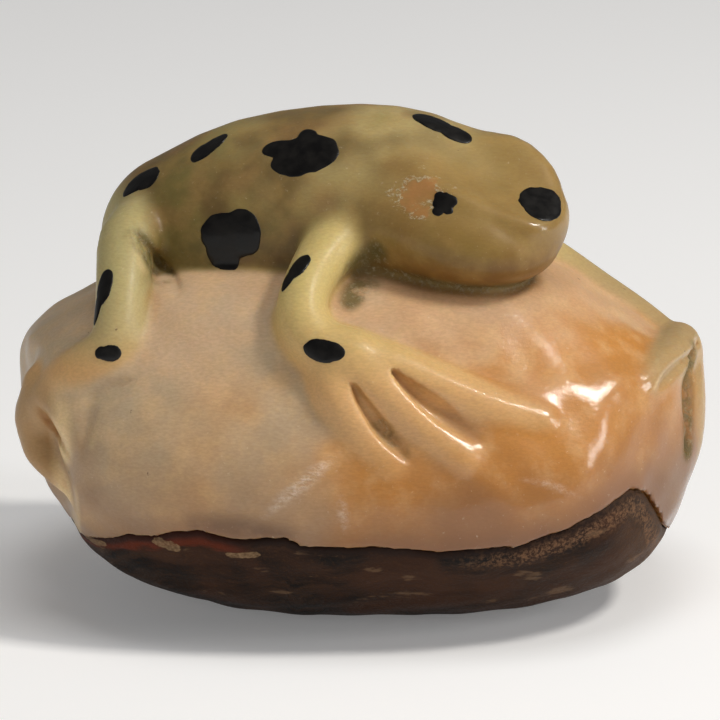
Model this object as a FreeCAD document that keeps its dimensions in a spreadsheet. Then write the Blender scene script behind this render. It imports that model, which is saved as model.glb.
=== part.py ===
"""A frog carved on a boulder out of one palm nut, with part of the nut's brown coat left underneath.

Frame: millimetres, +Z up, origin at the centre of the small flat foot that the carving stands on.
+X runs along the nut towards the frog's head, and the frog's right side faces -Y.

Pieces: the carved kernel (frog and boulder, one solid), the seed coat left on its underside, and each
dried spot of black paint.
"""

import FreeCAD
import Part
import math
import os
import Sketcher

doc = FreeCAD.newDocument("carved_frog")
sizes = doc.addObject("Spreadsheet::Sheet", "sizes")
V = FreeCAD.Vector

# ---- driving sizes, kept in a sheet that every feature is bound to ----

SINGLE_SIZES = (
    ("coat_thickness", 0.7, "thickness of the seed coat"),
    ("film_thickness", 0.12, "thickness of a dried spot of paint"),
    ("outline_depth", 2.0, "how far a spot's outline reaches to each side of its centre"),
    ("girth_height", 13.0, "height of the nut's widest level"),
    ("bone_overlap", 0.7, "how far a bone passes its joints, as a share of its radius"),
    ("bone_fullness", 1.1, "radius at a bone's middle over the mean radius of its joints"),
    ("seam_width", 60.0, "reach of the seam outline across the nut"),
    ("seam_bottom", -4.0, "height of the seam outline's lower edge, below the nut"),
)

# Oval levels of the stone from the foot to the top: height, centre x and y, half length, half width.
STONE_LEVELS = (
    (0.0, 0.0, 0.0, 9.5, 7.0),
    (0.5, 0.2, 0.0, 12.5, 9.2),
    (1.4, 0.5, 0.0, 16.6, 12.2),
    (4.0, 0.9, 0.0, 22.0, 16.2),
    (8.0, 0.8, 0.1, 25.7, 18.5),
    (13.0, 0.0, 0.9, 27.5, 18.9),
    (17.0, -0.4, 1.4, 27.3, 17.2),
    (20.5, -1.2, 1.5, 25.8, 14.7),
    (23.5, -2.2, 1.4, 22.8, 11.9),
    (26.0, -2.2, 1.3, 18.0, 9.3),
    (28.0, -2.0, 1.0, 12.0, 6.2),
)

# Upper edge of the seed coat, seen from the side: x, height.
SEAM = (
    (-32, 9.6), (-24, 9.4), (-17, 9.5), (-5, 9.3), (6.5, 8.4), (13, 9.2), (19, 11.2), (22.6, 12.2),
    (23.8, 8.0), (26, 3.5), (32, 2.5),
)

# The torso: centre points from the rump to the shoulders, each with its x, y, z and radius.
TORSO = ((-14, 4.4, 28, 7.3), (-7, 3.2, 30.2, 8.1), (1, 1.6, 31.3, 8.25), (5.6, 0.5, 31.4, 7.2))

# Limbs and digits: joints from the body outwards, each with its x, y, z and radius. Each bone between
# two joints is one long oval.
LIMBS = {
    "right_arm": (
        (-1.2, -4.6, 30.4, 2.6), (-3.6, -8.6, 28, 2.1), (-4.9, -11.8, 24.6, 2.2), (-2.6, -13.6, 22.4, 2.1),
        (1, -14, 21, 1.8),
    ),
    "right_finger_1": ((0.4, -14, 21.2, 1.6), (7.1, -13.9, 20.2, 1.6), (14, -13.8, 17.6, 1.2)),
    "right_finger_2": ((-0.2, -13.9, 21.4, 1.7), (5.2, -16, 17.8, 1.6), (9.2, -17, 14.8, 1.3)),
    "right_finger_3": ((-1.2, -13.8, 21.8, 1.8), (-0.6, -15.8, 18.6, 1.6), (2.4, -18, 14.4, 1.3)),
    "right_leg": (
        (-15.2, 0.5, 31, 4), (-18.2, -3.6, 28.4, 2.7), (-18.8, -7.5, 24.5, 2.3),
        (-19.6, -9.4, 21.6, 2.2), (-22.6, -8.2, 19.4, 2.1), (-25.2, -5, 16.4, 2),
    ),
    "right_toe_1": ((-25, -5.2, 16.8, 1.8), (-25.8, -5.4, 13.6, 1.6), (-25, -6.8, 10.8, 1.2)),
    "right_toe_2": ((-24.6, -5.8, 17, 1.6), (-24.4, -8.2, 14.4, 1.5), (-23, -10.2, 12, 1.2)),
    "right_toe_3": ((-23, -7.6, 18.4, 1.6), (-21.9, -10.4, 15.8, 1.7), (-20.4, -12.3, 13.8, 1.4)),
    "left_arm": ((6, 5.4, 30, 2.6), (13, 6.2, 27.6, 2.1), (20, 4.6, 23.6, 1.9), (25.6, 2.2, 19, 1.8)),
    "left_finger_1": ((25.2, 2.2, 19, 1.6), (23.9, -2.2, 18.6, 1.4), (21.6, -5.4, 18.4, 1.1)),
    "left_finger_2": ((25.4, 2.3, 18.9, 1.6), (26.4, 0, 15, 1.5), (26.2, -2, 10, 1.2)),
    "left_finger_3": ((25.3, 2.6, 18.8, 1.6), (26, 4.4, 15, 1.5), (25.4, 6.2, 10.8, 1.2)),
    "left_leg": (
        (-12, 8.2, 29.6, 4), (-15, 11.8, 25.8, 2.7), (-15.8, 14, 21.8, 2.3), (-16.8, 15.4, 18.6, 2.2),
        (-19.4, 14.2, 15.6, 2),
    ),
    "left_toe_1": ((-19.2, 14.2, 15.8, 1.7), (-21.6, 12.8, 13, 1.5), (-22.4, 11.2, 10.8, 1.2)),
    "left_toe_2": ((-19, 14.4, 15.9, 1.7), (-19.2, 15.1, 12.8, 1.5), (-18.4, 14.9, 10.8, 1.2)),
    "left_toe_3": ((-18.6, 14.6, 16, 1.7), (-16.6, 16.4, 13.4, 1.5), (-14, 17.2, 11.4, 1.2)),
}

# Oval masses of the head: centre, half length, half width, half height, heading and nod in degrees.
HEAD = {
    "skull": ((7.6, -1.9, 31.6), 7.6, 6.9, 5.3, -34, 12),
    "snout": ((12.6, -3.7, 31.6), 3.9, 4.1, 3.8, -34, 14),
    "right_brow": ((9, -6.0, 33.7), 4.4, 2.0, 2.2, -34, 8),
    "left_brow": ((11.4, 0.6, 34.2), 3.6, 2.0, 2.5, -34, 12),
}

# Spots of paint: what each lies on, centre, outward direction, direction of its length, then its ovals
# as offset along, offset across, half length, half width.
SPOTS = {
    "snout_spot": (
        "snout", (14.3, -6.5, 33.5), (0.54, -0.67, 0.51), (0.7, 0.7, 0),
        ((0, 0, 1.9, 1.5),),
    ),
    "right_eye_spot": (
        "skull", (6.6, -7, 34.2), (-0.14, -0.8, 0.55), (1, 0, 0),
        ((0, 0, 0.95, 0.8), (0.2, -0.4, 0.7, 0.5)),
    ),
    "left_eye_spot": (
        "left_brow", (12, 1.4, 36.2), (0.4, 0.6, 0.7), (1, -0.6, 0),
        ((0, 0, 0.95, 0.8),),
    ),
    "nape_spot": (
        "torso", (6.4, -2, 38.8), (0.11, -0.3, 0.95), (4.1, -3, -1.3),
        ((0, 0, 2.6, 1.1),),
    ),
    "large_back_spot": (
        "torso", (-4.7, -2.8, 37), (-0.24, -0.63, 0.74), (1, -0.3, 0),
        ((0, 0, 2.9, 1.7), (0.9, 0.9, 1.5, 1.3), (-1.7, -0.2, 1.5, 1.4)),
    ),
    "small_back_spot": (
        "torso", (-12.1, 0.8, 36.2), (-0.38, -0.35, 0.85), (2.9, 0.5, 1.6),
        ((0, 0, 1.7, 0.95),),
    ),
    "rump_spot": (
        "torso", (-18, 1.3, 34), (-0.59, -0.08, 0.81), (2.4, 0, 1.8),
        ((0, 0, 1.6, 1),),
    ),
    "right_flank_spot": (
        "torso", (-10.4, -4.3, 30.4), (-0.27, -0.96, 0.03), (1, -0.3, 0),
        ((0, 0, 2.4, 2.2), (0.6, 0.6, 1.7, 1.7)),
    ),
    "right_thigh_spot": (
        "right_leg_bone_1", (-20.3, -6.2, 26.4), (-0.8, -0.5, 0.3), (0.3, 1.2, 1.9),
        ((0, 0, 2.1, 0.8),),
    ),
    "right_ankle_spot": (
        "right_leg_bone_2", (-19.9, -10.9, 22.8), (-0.2, -0.9, 0.35), (1, 0, 0),
        ((0, 0, 1.05, 0.75),),
    ),
    "right_arm_spot": (
        "right_arm_bone_1", (-5.2, -9.4, 28), (-0.6, -0.75, 0.1), (0.6, -0.9, 1.5),
        ((0, 0, 1.4, 0.75),),
    ),
    "right_elbow_spot": (
        "right_arm_bone_2", (-3.4, -14.6, 24), (0.1, -0.8, 0.6), (1, 0.1, -0.1),
        ((0, 0, 1.6, 0.9), (-0.5, -0.1, 1, 1)),
    ),
    "left_back_spot": (
        "torso", (-3, 7, 37.6), (-0.1, 0.66, 0.74), (1, 0.1, 0),
        ((0, 0, 2.2, 1.4), (0.8, 0.5, 1.4, 1.2)),
    ),
    "left_flank_spot": (
        "torso", (-8, 11, 30.4), (0.1, 0.97, 0.1), (1, 0, 0.2),
        ((0, 0, 2.1, 1.8),),
    ),
    "left_thigh_spot": (
        "left_leg_bone_1", (-15.4, 15.6, 25.4), (-0.2, 0.8, 0.5), (0, -0.5, 0.8),
        ((0, 0, 1.7, 0.9),),
    ),
}

LIMB_GROUPS = {
    "front_right": ("right_arm", "right_finger_1", "right_finger_2", "right_finger_3"),
    "hind_right": ("right_leg", "right_toe_1", "right_toe_2", "right_toe_3"),
    "front_left": ("left_arm", "left_finger_1", "left_finger_2", "left_finger_3"),
    "hind_left": ("left_leg", "left_toe_1", "left_toe_2", "left_toe_3"),
}

KERNEL, COAT = "carved_kernel", "seed_coat"
DOME_STEPS = (0.5, 0.8, 0.96)
LEVEL_KEYS = ("z", "x", "y", "long", "wide")

row = 1


def write_row(label, keys, values):
    """Adds a labelled row to the sheet, with one named cell for each value."""
    global row
    sizes.set(f"A{row}", label)
    for column, key, value in zip("BCDEFG", keys, values):
        sizes.set(f"{column}{row}", str(value))
        sizes.setAlias(f"{column}{row}", key)
    row += 1


for alias, value, meaning in SINGLE_SIZES:
    write_row(meaning, (alias,), (value,))
for number, level in enumerate(STONE_LEVELS):
    write_row(f"stone level {number}", [f"level{number}_{key}" for key in LEVEL_KEYS], level)
for number, point in enumerate(SEAM):
    write_row(f"seam point {number}", [f"seam{number}_{key}" for key in "xz"], point)
for limb, joints in ({"torso": TORSO} | LIMBS).items():
    for number, joint in enumerate(joints):
        write_row(f"{limb} joint {number}", [f"{limb}_{number}_{key}" for key in "xyzr"], joint)
for mass, (centre, *halves, heading, nod) in HEAD.items():
    write_row(f"{mass} centre", [f"{mass}_{key}" for key in "xyz"], centre)
    write_row(f"{mass} half sizes", [f"{mass}_{key}" for key in ("long", "wide", "high")], halves)
for spot, (_, _, _, _, ovals) in SPOTS.items():
    for number, oval in enumerate(ovals):
        keys = [f"{spot}_{number}_{key}" for key in ("along", "across", "long", "wide")]
        write_row(f"{spot} oval {number}", keys, oval)
doc.recompute()

# ---- helpers ----


def bind(thing, **formulas):
    """Binds properties to sheet formulas; x, y and z stand for the placement's base."""
    for name, formula in formulas.items():
        path = f".Placement.Base.{name}" if name in "xyz" else name
        thing.setExpression(path, formula)
    return thing


def combine(kind, label, **inputs):
    """Adds a boolean feature of the named kind."""
    feature = doc.addObject(f"Part::{kind}", label)
    for name, value in inputs.items():
        setattr(feature, name, value)
    return feature


def loft(label, outlines):
    return combine("Loft", label, Sections=outlines, Solid=True, Ruled=False)


def ring(label, joint, heading, reach, film):
    """A circle across the torso, moved out from its centre by a share of the radius to round off an end."""
    circle = doc.addObject("Part::Circle", label)
    circle.Placement = FreeCAD.Placement(V(), FreeCAD.Rotation(V(0, 0, 1), heading))
    radius = f"(sizes.{joint}_r + {film})"
    shrink = math.sqrt(1 - reach * reach)
    offsets = {}
    for axis, part in zip("xyz", heading):
        offsets[axis] = f"sizes.{joint}_{axis} + {part * reach:.5f} * {radius}"
    return bind(circle, Radius=f"{radius} * {shrink:.5f}", **offsets)


def torso_solid(label="torso", film="0"):
    """The torso lofted through its rings, with a rounded cap at both ends."""
    centres = [V(*point[:3]) for point in TORSO]
    last = len(centres) - 1
    rings = []
    for number in range(last + 1):
        heading = (centres[min(number + 1, last)] - centres[max(number - 1, 0)]).normalize()
        reaches = [0.0]
        if number == 0:
            reaches = [-step for step in reversed(DOME_STEPS)] + reaches
        if number == last:
            reaches = reaches + list(DOME_STEPS)
        rings += [ring(f"{label}_ring", f"torso_{number}", heading, reach, film) for reach in reaches]
    return loft(label, rings)


def bone_solid(label, limb, number, film="0"):
    """One bone of a limb: a long oval that passes its two joints, so that it overlaps its neighbours."""
    near, far = LIMBS[limb][number:number + 2]
    ends = [f"sizes.{limb}_{joint}" for joint in (number, number + 1)]
    middles = {axis: f"({ends[0]}_{axis} + {ends[1]}_{axis}) / 2" for axis in "xyz"}
    spans = " + ".join(f"({ends[1]}_{axis} - {ends[0]}_{axis})^2" for axis in "xyz")
    girth = f"sizes.bone_fullness * ({ends[0]}_r + {ends[1]}_r) / 2"
    bone = doc.addObject("Part::Ellipsoid", label)
    bone.Placement = FreeCAD.Placement(V(), FreeCAD.Rotation(V(1, 0, 0), V(*far[:3]) - V(*near[:3])))
    half_length = f"sqrt({spans}) / 2 + sizes.bone_overlap * {girth} + {film}"
    half_girth = f"{girth} + {film}"
    return bind(bone, Radius1=half_girth, Radius2=half_length, Radius3=half_girth, **middles)


def head_solid(label, mass, film="0"):
    """One oval mass of the head."""
    (centre, *_, heading, nod) = HEAD[mass]
    oval = doc.addObject("Part::Ellipsoid", label)
    oval.Placement = FreeCAD.Placement(V(*centre), FreeCAD.Rotation(heading, nod, 0))
    bind(
        oval,
        Radius1=f"sizes.{mass}_high + {film}",
        Radius2=f"sizes.{mass}_long + {film}",
        Radius3=f"sizes.{mass}_wide + {film}",
        **{axis: f"sizes.{mass}_{axis}" for axis in "xyz"},
    )
    return oval


def stone_solid(label, wall=None):
    """The nut's body, or the same body inside a wall of the given thickness."""
    levels = []
    for number, level in enumerate(STONE_LEVELS):
        oval = doc.addObject("Part::Ellipse", f"{label}_level")
        names = {key: f"sizes.level{number}_{key}" for key in LEVEL_KEYS}
        if wall:
            names["z"] += f" + {wall} * max(0; 1 - {names['z']} / sizes.girth_height)"
            names["long"] += f" - {wall}"
            names["wide"] += f" - {wall}"
        bind(oval, MajorRadius=names.pop("long"), MinorRadius=names.pop("wide"), **names)
        levels.append(oval)
    return loft(label, levels)


def seam_solid():
    """A block under the seed coat's wavy upper edge, drawn from the side and padded across the nut.

    Every corner of the sketch takes its place from the sheet; the two lowest share the sheet's bottom height.
    """
    body = doc.addObject("PartDesign::Body", "below_seam")
    sketch = body.newObject("Sketcher::SketchObject", "seam_outline")
    side_plane = next(plane for plane in body.Origin.OriginFeatures if plane.Role == "XZ_Plane")
    sketch.AttachmentSupport = [(side_plane, "")]
    sketch.MapMode = "FlatFace"
    doc.recompute()
    bottom = dict((alias, value) for alias, value, _ in SINGLE_SIZES)["seam_bottom"]
    corners = [(x, z, f"seam{number}_x", f"seam{number}_z") for number, (x, z) in enumerate(SEAM)]
    for x, _, x_name, _ in (corners[-1], corners[0]):
        corners.append((x, bottom, x_name, "seam_bottom"))
    for number, (x, z, *_) in enumerate(corners):
        next_x, next_z, *_ = corners[(number + 1) % len(corners)]
        sketch.addGeometry(Part.LineSegment(V(x, z, 0), V(next_x, next_z, 0)), False)
    for number in range(len(corners)):
        after = (number + 1) % len(corners)
        sketch.addConstraint(Sketcher.Constraint("Coincident", number, 2, after, 1))
    for number, (x, z, x_name, z_name) in enumerate(corners):
        for kind, value, name in (("DistanceX", x, x_name), ("DistanceY", z, z_name)):
            index = sketch.addConstraint(Sketcher.Constraint(kind, -1, 1, number, 1, value))
            sketch.setExpression(f"Constraints[{index}]", f"sizes.{name}")
    doc.recompute()
    pad = body.newObject("PartDesign::Pad", "seam_pad")
    pad.Profile = sketch
    pad.Midplane = True
    pad.setExpression("Length", "sizes.seam_width")
    body.Tip = pad
    return body


def painted_solid(host):
    """A part of the frog grown by the thickness of the paint, made once and kept."""
    if host not in painted_hosts:
        label, film = f"{host}_painted", "sizes.film_thickness"
        if host == "torso":
            painted_hosts[host] = torso_solid(label, film)
        elif host in HEAD:
            painted_hosts[host] = head_solid(label, host, film)
        else:
            limb, number = host.rsplit("_bone_", 1)
            painted_hosts[host] = bone_solid(label, limb, int(number), film)
    return painted_hosts[host]


def spot_solid(spot, kernel):
    """A thin film of paint: the spot's outline cut out of its host's painted skin, less the kernel."""
    host, centre, outward, along, ovals = SPOTS[spot]
    painted = painted_solid(host)
    out = V(*outward).normalize()
    across = out.cross(V(*along)).normalize()
    rotation = FreeCAD.Rotation(across.cross(out), across, out, "ZXY")
    patches = []
    for number in range(len(ovals)):
        oval = f"sizes.{spot}_{number}"
        outline = doc.addObject("Part::Ellipse", f"{spot}_outline")
        bind(outline, MajorRadius=f"{oval}_long", MinorRadius=f"{oval}_wide")
        bind(outline, x=f"{oval}_along", y=f"{oval}_across")
        column = doc.addObject("Part::Extrusion", f"{spot}_column")
        column.Base = outline
        column.Dir = V(0, 0, 1)
        column.Solid = True
        column.Symmetric = True
        bind(column, LengthFwd="2 * sizes.outline_depth")
        column.Placement = FreeCAD.Placement(V(*centre), rotation)
        patches.append(column)
    area = patches[0] if len(patches) == 1 else combine("MultiFuse", f"{spot}_area", Shapes=patches)
    skin = combine("Common", f"{spot}_skin", Base=area, Tool=painted)
    return combine("Cut", spot, Base=skin, Tool=kernel)


# ---- the carving ----

painted_hosts = {}
stone = stone_solid("stone")
inner_stone = stone_solid("inner_stone", "sizes.coat_thickness")
head = combine("MultiFuse", "head", Shapes=[head_solid(mass, mass) for mass in HEAD])
groups = [torso_solid(), head]
for group, limbs in LIMB_GROUPS.items():
    bones = []
    for limb in limbs:
        bones += [bone_solid(f"{limb}_bone_{number}", limb, number) for number in range(len(LIMBS[limb]) - 1)]
    groups.append(combine("MultiFuse", group, Shapes=bones))
whole = stone
for group in groups:
    whole = combine("Fuse", f"stone_to_{group.Label}", Base=whole, Tool=group)

shell = combine("Cut", "coat_shell", Base=stone, Tool=inner_stone)
coat = combine("Common", COAT, Base=shell, Tool=seam_solid())
kernel = combine("Cut", KERNEL, Base=whole, Tool=coat)
pieces = [kernel, coat] + [spot_solid(spot, kernel) for spot in SPOTS]
doc.recompute()

# ---- proof and export ----

for thing in doc.Objects:
    if {"Invalid", "Error"} & set(thing.State):
        raise RuntimeError(f"{thing.Label} did not compute: {thing.State}")
os.makedirs("parts", exist_ok=True)
for piece in pieces:
    shape = piece.Shape
    if shape.isNull() or not shape.isValid() or len(shape.Solids) != 1:
        raise RuntimeError(f"{piece.Label} is not one sound solid: {len(shape.Solids)} solids")
    shape.exportStep(f"parts/{piece.Label}.step")
    box = shape.BoundBox
    print(f"{piece.Label}: {shape.Volume:.2f} mm3, z {box.ZMin:.2f} to {box.ZMax:.2f}")
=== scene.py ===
"""Looks of the carved nut frog: the sculpted kernel, the brown seed coat under it and the painted spots.

Shapes are worked out in millimetres in the part's own frame (origin at the centre of the foot, +X towards
the frog's head, the frog's right side facing -Y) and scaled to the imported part's box.
"""

import math

import bpy
import numpy as np
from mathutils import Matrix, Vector


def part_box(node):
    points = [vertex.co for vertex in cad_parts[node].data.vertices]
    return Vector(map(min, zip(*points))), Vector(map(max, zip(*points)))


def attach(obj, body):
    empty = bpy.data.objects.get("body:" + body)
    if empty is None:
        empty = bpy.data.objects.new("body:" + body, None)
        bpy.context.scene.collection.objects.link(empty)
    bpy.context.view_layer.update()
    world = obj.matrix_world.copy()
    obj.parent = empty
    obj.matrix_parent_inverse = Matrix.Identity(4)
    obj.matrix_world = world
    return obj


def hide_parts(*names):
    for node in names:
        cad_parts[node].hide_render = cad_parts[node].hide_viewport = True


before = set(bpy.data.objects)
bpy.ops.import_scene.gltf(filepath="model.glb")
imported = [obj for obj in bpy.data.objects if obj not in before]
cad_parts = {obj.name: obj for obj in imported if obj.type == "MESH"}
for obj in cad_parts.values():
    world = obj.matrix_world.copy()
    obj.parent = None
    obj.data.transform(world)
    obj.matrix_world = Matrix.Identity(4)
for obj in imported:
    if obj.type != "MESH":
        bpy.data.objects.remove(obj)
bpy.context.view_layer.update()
kernel_low, kernel_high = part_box("carved_kernel")
KERNEL_LENGTH = 55.5
MM = (kernel_high[0] - kernel_low[0]) / KERNEL_LENGTH

# ---- fields: signed distances, in millimetres, negative inside ----


def smooth_min(a, b, k):
    h = np.clip(0.5 + 0.5 * (b - a) / k, 0, 1)
    return b * (1 - h) + a * h - k * h * (1 - h)


def smooth_max(a, b, k):
    return -smooth_min(-a, -b, k)


def ease(a, b, x):
    """Nought at a, one at b, and smooth between."""
    t = np.clip((x - a) / (b - a), 0, 1)
    return t * t * (3 - 2 * t)


def directions(heading, nod):
    """Forward, left and up for something turned by its heading and nodding its front down, in degrees."""
    turn, dip = math.radians(heading), math.radians(nod)
    forward = np.array([math.cos(turn) * math.cos(dip), math.sin(turn) * math.cos(dip), -math.sin(dip)])
    left = np.array([-math.sin(turn), math.cos(turn), 0])
    return np.array([forward, left, np.cross(forward, left)])


def oval(p, centre, halves, heading=0, nod=0):
    q = (p - np.array(centre)) @ directions(heading, nod).T
    near = np.linalg.norm(q / halves, axis=1)
    slope = np.linalg.norm(q / np.square(halves), axis=1)
    return near * (near - 1) / np.maximum(slope, 1e-9)


def round_cone(p, a, b):
    """Distance to a cone with a ball at each end; a and b hold x, y, z and radius."""
    start, span = a[:3], b[:3] - a[:3]
    shrink = a[3] - b[3]
    length2 = span @ span
    tilt = length2 - shrink * shrink
    away = p - start
    y = away @ span
    z = y - length2
    x2 = np.square(away * length2 - np.outer(y, span)).sum(1)
    y2, z2 = y * y * length2, z * z * length2
    k = np.sign(shrink) * shrink * shrink * x2
    body = (np.sqrt(x2 * tilt / length2) + y * shrink) / length2 - a[3]
    near_end = np.sqrt(x2 + y2) / length2 - a[3]
    far_end = np.sqrt(x2 + z2) / length2 - b[3]
    out = np.where(np.sign(y) * tilt * y2 < k, near_end, body)
    return np.where(np.sign(z) * tilt * z2 > k, far_end, out)


def smooth_path(joints, steps):
    """Points along a smooth curve through the joints."""
    joints = np.array(joints, float)
    ends = np.vstack([2 * joints[0] - joints[1], joints, 2 * joints[-1] - joints[-2]])
    path = []
    for before, a, b, after in zip(ends, ends[1:], ends[2:], ends[3:]):
        for t in np.arange(steps) / steps:
            bend = 2 * before - 5 * a + 4 * b - after
            twist = 3 * a - before - 3 * b + after
            path.append(0.5 * (2 * a + (b - before) * t + bend * t**2 + twist * t**3))
    return np.array(path + [joints[-1]])


LIMB_REACH = 4.5


def limb(p, joints, steps=3):
    """Distance to a round limb along a smooth curve; far from the limb, only the distance to its box."""
    path = smooth_path(joints, steps)
    low, high = (path[:, :3] - path[:, 3:]).min(0), (path[:, :3] + path[:, 3:]).max(0)
    out = np.linalg.norm(np.maximum(np.maximum(low - p, p - high), 0), axis=1)
    near = np.nonzero(out < LIMB_REACH)[0]
    if len(near):
        q = p[near]
        out[near] = np.min([round_cone(q, a, b) for a, b in zip(path, path[1:])], axis=0)
    return out


def lattice_noise(p, size, seed=0):
    """Smooth noise from 0 to 1 that varies over about the given size."""
    q = p / size
    cell = np.floor(q).astype(np.int64)
    t = q - cell
    t = t * t * (3 - 2 * t)
    total = np.zeros(len(p))
    # Large odd numbers scatter each corner's cell and seed into a value from 0 to 1.
    for corner in np.ndindex(2, 2, 2):
        c = cell + corner
        key = c[:, 0] * 374761393 + c[:, 1] * 668265263 + c[:, 2] * 1442695041 + seed * 982451653
        key = (key ^ (key >> 13)) * 1274126177 & 0xFFFFFFFF
        key = (key ^ (key >> 15)) * 2246822519 & 0xFFFFFFFF
        value = ((key ^ (key >> 16)) & 0xFFFFFF) / 0xFFFFFF
        total += value * np.prod(np.where(corner, t, 1 - t), axis=1)
    return total


def cloud(p, size, seed=0, octaves=3):
    """Layered noise about zero, from -1 to 1."""
    total, weight = np.zeros(len(p)), 0.0
    for octave in range(octaves):
        share = 0.5**octave
        total += share * (2 * lattice_noise(p, size * share, seed + octave) - 1)
        weight += share
    return total / weight


def ripple(p):
    """Gentle unevenness left by the carver's tool."""
    x, y, z = p.T
    long_waves = np.sin(0.9 * x + 0.7 * y) * np.sin(0.8 * z + 0.5 * x)
    short_waves = np.sin(1.3 * y - 0.6 * z) * np.sin(0.7 * x - 0.9 * z)
    return long_waves + short_waves


# ---- the boulder ----

# Levels of the stone: height, left limit, right limit, front limit, back limit.
STONE_LEVELS = np.array([
    (0, -9.5, 11, -6.6, 7.2),
    (0.6, -12.8, 14.6, -9.2, 10),
    (1.8, -16.6, 19.7, -11.9, 12.8),
    (4, -21, 23.4, -15, 15.8),
    (8, -24.1, 25.7, -18.3, 18.7),
    (12, -26.4, 26.9, -19.4, 19.8),
    (16, -27.4, 26.9, -18.3, 19.2),
    (19.5, -27.3, 26, -16, 17.4),
    (22, -25.5, 23.2, -14, 15.2),
    (24.5, -21.3, 19.4, -12.2, 12.4),
    (26.5, -17.6, 16.4, -10.5, 10),
    (28.2, -12, 12, -7.8, 7),
])
STONE_SQUARENESS = 2.6
STONE_CROWN_SOFTNESS, STONE_FOOT_SOFTNESS = 1.0, 0.35
RIPPLE_DEPTH = 0.06
TABLE_STEP, EASING_STEPS = 0.1, 24


def level_table():
    """The stone's limits at closely spaced heights, eased between the levels."""
    heights = np.arange(STONE_LEVELS[0, 0], STONE_LEVELS[-1, 0] + TABLE_STEP / 2, TABLE_STEP)
    path = smooth_path(STONE_LEVELS, EASING_STEPS)
    columns = [np.interp(heights, path[:, 0], path[:, i]) for i in range(1, 5)]
    left, right, front, back = columns
    limits = np.array([(left + right) / 2, (front + back) / 2, (right - left) / 2, (back - front) / 2])
    return heights, limits, np.gradient(limits, heights, axis=1)


LEVEL_HEIGHTS, LEVEL_LIMITS, LEVEL_SLOPES = level_table()

# Flats worked on the stone: a point on each, the way it faces, and how softly its edges turn.
STONE_FACETS = (
    ((-22.4, -12.6, 12), (-0.95, -0.31, -0.05), 0.7),
    ((20.6, -13.4, 16), (0.80, -0.59, 0.10), 1.6),
    ((14, -15.6, 21.5), (0.24, -0.72, 0.65), 1.2),
    ((-8, -8.5, 26.9), (-0.05, -0.40, 0.915), 0.9),
)


def nut_field(p):
    """The bare boulder: squared ovals stacked between its levels."""
    z = np.clip(p[:, 2], LEVEL_HEIGHTS[0], LEVEL_HEIGHTS[-1])
    centre_x, centre_y, long, wide = [np.interp(z, LEVEL_HEIGHTS, row) for row in LEVEL_LIMITS]
    slope_x, slope_y, slope_long, slope_wide = [np.interp(z, LEVEL_HEIGHTS, row) for row in LEVEL_SLOPES]
    m = STONE_SQUARENESS
    x, y = (p[:, 0] - centre_x) / long, (p[:, 1] - centre_y) / wide
    ax, ay = np.abs(x) + 1e-9, np.abs(y) + 1e-9
    rho = (ax**m + ay**m) ** (1 / m)
    push_x, push_y = (ax / rho) ** (m - 1), (ay / rho) ** (m - 1)
    gz = push_x * (np.sign(x) * slope_x + ax * slope_long) / long
    gz = gz + push_y * (np.sign(y) * slope_y + ay * slope_wide) / wide
    d = (rho - 1) / np.sqrt((push_x / long) ** 2 + (push_y / wide) ** 2 + gz**2)
    d = smooth_max(d, p[:, 2] - LEVEL_HEIGHTS[-1], STONE_CROWN_SOFTNESS)
    return smooth_max(d, -p[:, 2], STONE_FOOT_SOFTNESS)


def stone_field(p):
    d = nut_field(p)
    for place, facing, softness in STONE_FACETS:
        d = smooth_max(d, (p - place) @ facing, softness)
    return d + RIPPLE_DEPTH * ripple(p)


# ---- the frog ----

# Limbs, fingers and toes are chains of joints: x, y, z and radius. Slits are chains cut out again.
TORSO = (
    (-13.8, 4, 28.1, 7), (-7.5, 3, 29.9, 8.3), (0, 1.8, 31.05, 8.45), (5, 0.6, 31.2, 7.6),
    (8.4, -0.8, 30.6, 5.4),
)

RIGHT_ARM = (
    (-1, -4.4, 30.8, 2.8), (-3, -7.4, 29.4, 2.1), (-4.3, -10.3, 27.6, 1.9), (-4.5, -11.9, 25.7, 2.1),
    (-3.2, -13, 24, 2.2), (-0.6, -13.7, 23.2, 2.1),
)
RIGHT_FINGERS = (
    (
        (-0.6, -13.6, 23.2, 2), (2.4, -14, 22.5, 1.8), (6.2, -14.3, 20.9, 1.7), (10.4, -14.6, 19.3, 1.35),
        (14, -14.6, 18.3, 0.9),
    ),
    ((-0.8, -13.9, 22.8, 2.1), (2, -15.2, 20.7, 1.9), (5, -16.3, 18.2, 1.6), (8, -17.2, 15.9, 1.1)),
    ((-2.2, -13.4, 22.9, 2.15), (-1.7, -15, 20.4, 1.9), (0.1, -16.3, 17.9, 1.6), (2.5, -17.5, 15.4, 1.1)),
)
RIGHT_HAND_SLITS = (
    ((2.4, -15.6, 22.7, 0.15), (4.4, -16.1, 20.9, 0.7), (6.6, -16.6, 19.3, 0.85), (9.4, -17.2, 17.7, 0.3)),
    ((-0.6, -16, 21.8, 0.15), (0.4, -16.7, 20.1, 0.42), (1.8, -17.4, 18.2, 0.55), (3.9, -18.4, 16.2, 0.2)),
)
RIGHT_LEG = (
    (-16.2, 2, 29.9, 3.1), (-18.2, -2.4, 29.5, 2.5), (-18.7, -6, 27.2, 2.1), (-18.9, -8.4, 24.6, 2),
    (-19.4, -9.3, 22.7, 2.1), (-21.8, -8.8, 20.4, 2), (-24, -7.2, 18, 2), (-25.2, -5.8, 16.2, 1.9),
)
RIGHT_TOES = (
    (
        (-24.9, -5.2, 18.4, 1.9), (-25.5, -5.6, 15.8, 1.8), (-25, -7, 13.4, 1.5),
        (-23.9, -8.8, 11.9, 1.2), (-22.9, -10.2, 11, 0.8),
    ),
    ((-23.4, -8, 17.8, 1.9), (-22.5, -10, 16.8, 1.9), (-22.2, -10.9, 15.2, 1.3)),
)
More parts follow.
